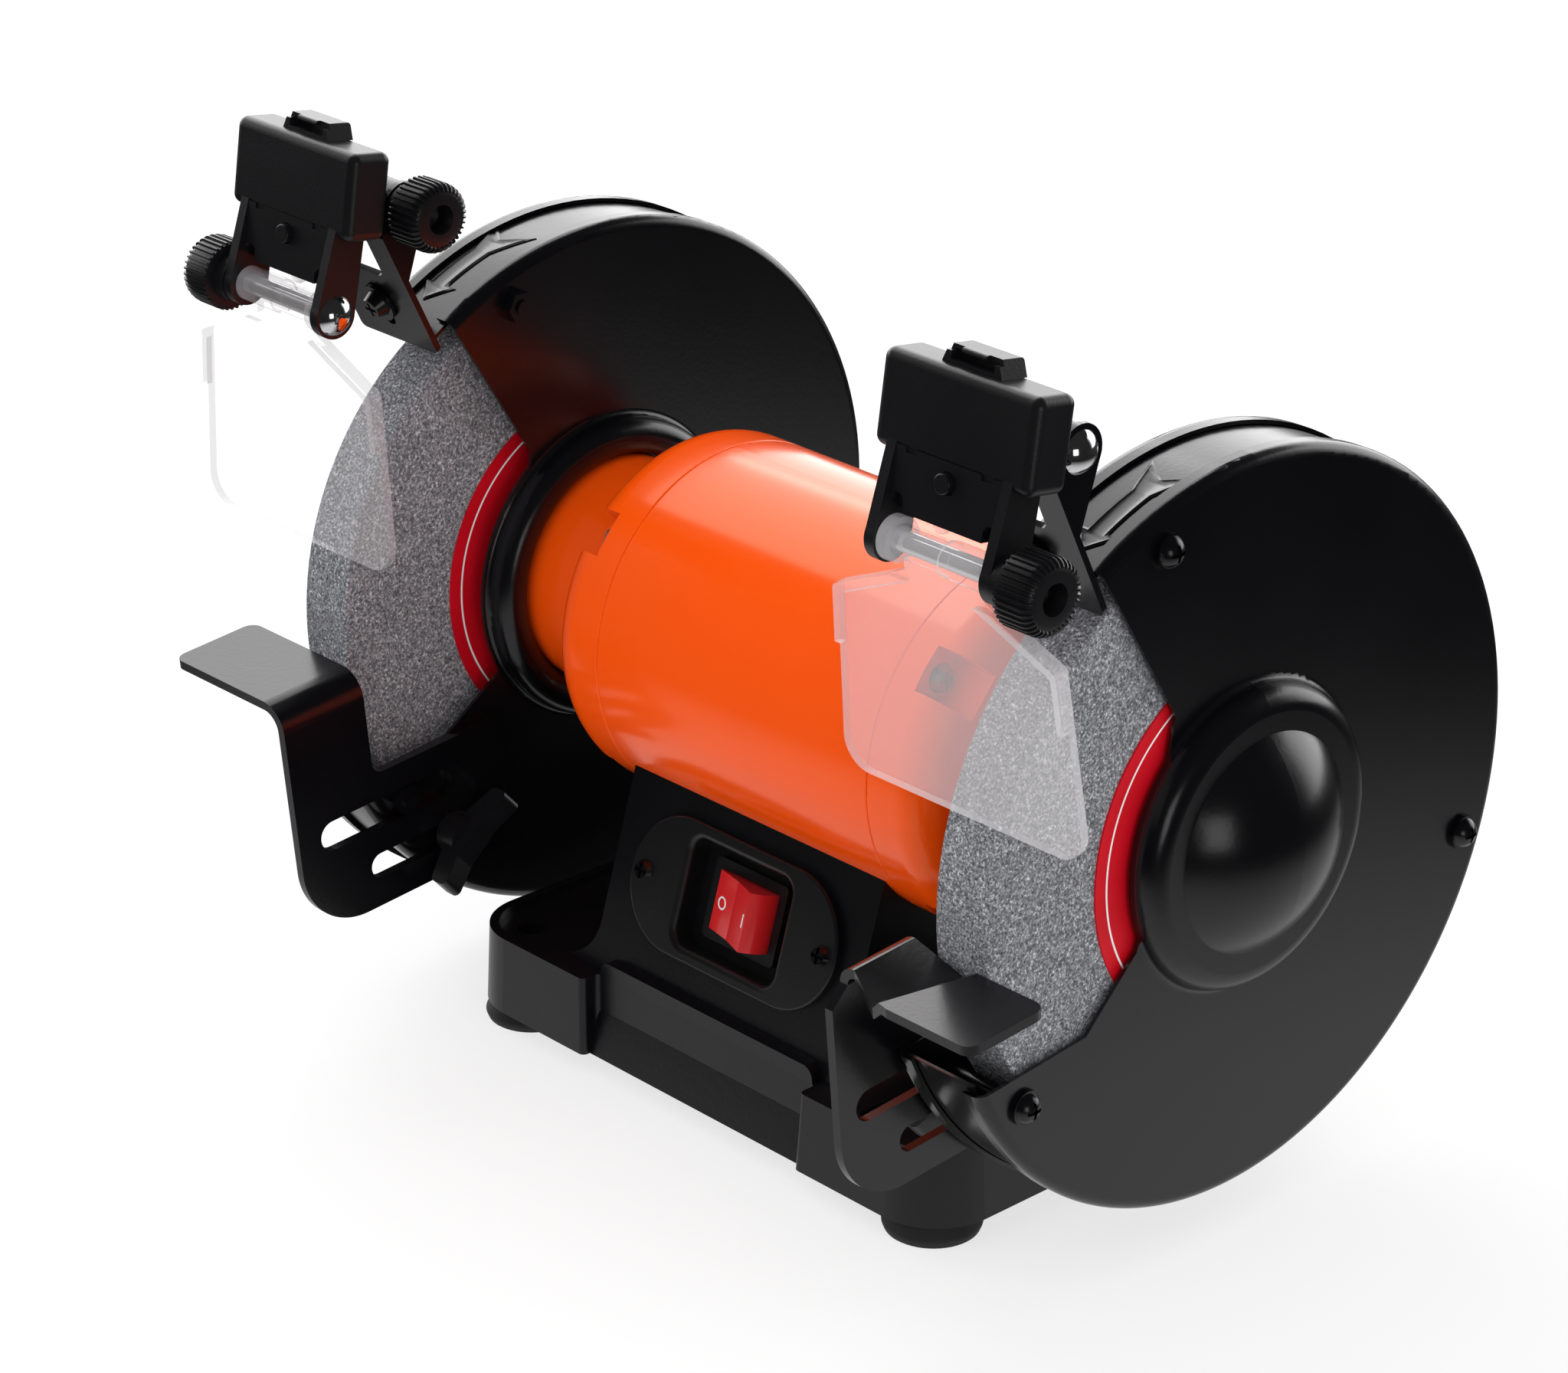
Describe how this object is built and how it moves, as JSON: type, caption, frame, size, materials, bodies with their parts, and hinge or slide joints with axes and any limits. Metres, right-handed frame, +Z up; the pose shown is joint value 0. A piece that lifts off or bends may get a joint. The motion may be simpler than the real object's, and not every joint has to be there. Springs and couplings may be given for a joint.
{
  "type": "bench grinder",
  "caption": "Bench grinder with an abrasive wheel in a guard at each shaft end, tool rests, spark arrestors, clip-on lamps and hinged eye shields on a slanted pedestal with a rocker switch.",
  "frame": {"origin": "on the bench, below the middle of the shaft", "axes": "+X along the shaft to the right as the user sees it, -Y towards the user, +Z up"},
  "size_m": [0.374, 0.2503, 0.2967],
  "materials": {
    "orange_paint": "gloss",
    "black_paint": "semi-gloss",
    "black_cast": "semi-gloss paint",
    "black_plastic": "matte",
    "rubber": "matte",
    "steel": "brushed",
    "chrome": "polished",
    "aluminium": "cast",
    "copper": "enamelled copper wire",
    "abrasive": "vitrified grit",
    "label_red": "printed paper",
    "rocker_red": "gloss",
    "clear": "clear polycarbonate",
    "cell_wrap": "printed wrap"
  },
  "bodies": {
    "frame": {"base_casting": "black_cast", "bottom_plate": "black_paint", "rubber_feet": "rubber", "motor_mount_bolts": "steel", "run_capacitor": "aluminium", "cord_gland": "black_plastic", "switch_plate": "black_plastic", "switch_plate_screws": "black_paint", "switch_body": "black_plastic", "motor_shell": "orange_paint", "left_end_bell": "orange_paint", "right_end_bell": "orange_paint", "through_bolts": "steel", "stator_core": "steel", "stator_windings": "copper", "bearing_outer_rings": "chrome", "left_inner_guard": "black_paint", "right_inner_guard": "black_paint", "left_guard_band": "black_paint", "right_guard_band": "black_paint", "left_outer_cover": "black_paint", "right_outer_cover": "black_paint", "guard_screws": "black_paint", "guard_nuts": "black_paint"},
    "rotor": {"rotor_shaft": "steel", "rotor_core": "steel", "bearing_inner_rings": "chrome", "bearing_balls": "chrome", "left_wheel": "abrasive", "right_wheel": "abrasive", "wheel_labels": "label_red", "wheel_flanges": "steel", "spindle_nuts": "steel"},
    "rocker": {"switch_rocker": "rocker_red"},
    "left_rest": {"left_tool_rest": "black_paint"},
    "left_rest_clamp": {"left_rest_knob": "black_plastic"},
    "left_arrestor": {"left_spark_arrestor": "black_paint", "left_lamp_bolt": "chrome"},
    "left_lamp_clamp": {"left_lamp_knob": "black_plastic"},
    "left_lamp": {"left_lamp_housing": "black_plastic", "left_lamp_cover": "black_plastic", "left_lamp_led": "clear", "left_lamp_cells": "cell_wrap", "left_shield_bolt": "chrome"},
    "left_button": {"left_lamp_button": "black_plastic"},
    "left_eye_shield": {"left_shield": "clear"},
    "left_shield_clamp": {"left_shield_knob": "black_plastic"},
    "right_rest": {"right_tool_rest": "black_paint"},
    "right_rest_clamp": {"right_rest_knob": "black_plastic"},
    "right_arrestor": {"right_spark_arrestor": "black_paint", "right_lamp_bolt": "chrome"},
    "right_lamp_clamp": {"right_lamp_knob": "black_plastic"},
    "right_lamp": {"right_lamp_housing": "black_plastic", "right_lamp_cover": "black_plastic", "right_lamp_led": "clear", "right_lamp_cells": "cell_wrap", "right_shield_bolt": "chrome"},
    "right_button": {"right_lamp_button": "black_plastic"},
    "right_eye_shield": {"right_shield": "clear"},
    "right_shield_clamp": {"right_shield_knob": "black_plastic"}
  },
  "joints": [
    {"name": "rotor_spin", "type": "hinge", "parent": "frame", "child": "rotor", "pos_m": [0, 0, 0.131], "axis": [1, 0, 0], "continuous": true},
    {"name": "power_rocker", "type": "hinge", "parent": "frame", "child": "rocker", "pos_m": [0, -0.05231, 0.06732], "axis": [0, 0.2924, 0.9563], "range_deg": [0, 42.8]},
    {"name": "left_rest_slide", "type": "slide", "parent": "frame", "child": "left_rest", "axis": [0, 0.9954, 0.0958], "range_m": [-0.01, 0.004]},
    {"name": "left_rest_clamp_turn", "type": "hinge", "parent": "frame", "child": "left_rest_clamp", "pos_m": [-0.114, -0.06974, 0.0589], "axis": [-1, 0, 0], "range_deg": [-180, 180]},
    {"name": "left_arrestor_slide", "type": "slide", "parent": "frame", "child": "left_arrestor", "axis": [0, -0.4305, 0.9026], "range_m": [-0.002, 0.006]},
    {"name": "left_lamp_tilt", "type": "hinge", "parent": "left_arrestor", "child": "left_lamp", "pos_m": [-0.1416, -0.077, 0.2685], "axis": [1, 0, 0], "range_deg": [-55, 1]},
    {"name": "left_lamp_clamp_turn", "type": "hinge", "parent": "left_arrestor", "child": "left_lamp_clamp", "pos_m": [-0.112, -0.077, 0.2685], "axis": [-1, 0, 0], "range_deg": [-180, 180]},
    {"name": "left_button_push", "type": "slide", "parent": "left_lamp", "child": "left_button", "axis": [0, 0.989, -0.1478], "range_m": [0, 0.001], "stiffness_N_per_m": 400},
    {"name": "left_shield_tilt", "type": "hinge", "parent": "left_lamp", "child": "left_eye_shield", "pos_m": [-0.1416, -0.1084, 0.2422], "axis": [1, 0, 0], "range_deg": [-75, 2]},
    {"name": "left_shield_clamp_turn", "type": "hinge", "parent": "left_lamp", "child": "left_shield_clamp", "pos_m": [-0.172, -0.1084, 0.2422], "axis": [-1, 0, 0], "range_deg": [-180, 180]},
    {"name": "right_rest_slide", "type": "slide", "parent": "frame", "child": "right_rest", "axis": [0, 0.9965, 0.0837], "range_m": [-0.01, 0.001]},
    {"name": "right_rest_clamp_turn", "type": "hinge", "parent": "frame", "child": "right_rest_clamp", "pos_m": [0.114, -0.06974, 0.0589], "axis": [1, 0, 0], "range_deg": [-180, 180]},
    {"name": "right_arrestor_slide", "type": "slide", "parent": "frame", "child": "right_arrestor", "axis": [0, -0.4305, 0.9026], "range_m": [-0.002, 0.006]},
    {"name": "right_lamp_tilt", "type": "hinge", "parent": "right_arrestor", "child": "right_lamp", "pos_m": [0.1416, -0.077, 0.2685], "axis": [1, 0, 0], "range_deg": [-55, 1]},
    {"name": "right_lamp_clamp_turn", "type": "hinge", "parent": "right_arrestor", "child": "right_lamp_clamp", "pos_m": [0.112, -0.077, 0.2685], "axis": [1, 0, 0], "range_deg": [-180, 180]},
    {"name": "right_button_push", "type": "slide", "parent": "right_lamp", "child": "right_button", "axis": [0, 0.989, -0.1478], "range_m": [0, 0.001], "stiffness_N_per_m": 400},
    {"name": "right_shield_tilt", "type": "hinge", "parent": "right_lamp", "child": "right_eye_shield", "pos_m": [0.1416, -0.1084, 0.2422], "axis": [1, 0, 0], "range_deg": [-80, 1]},
    {"name": "right_shield_clamp_turn", "type": "hinge", "parent": "right_lamp", "child": "right_shield_clamp", "pos_m": [0.172, -0.1084, 0.2422], "axis": [1, 0, 0], "range_deg": [-180, 180]}
  ]
}
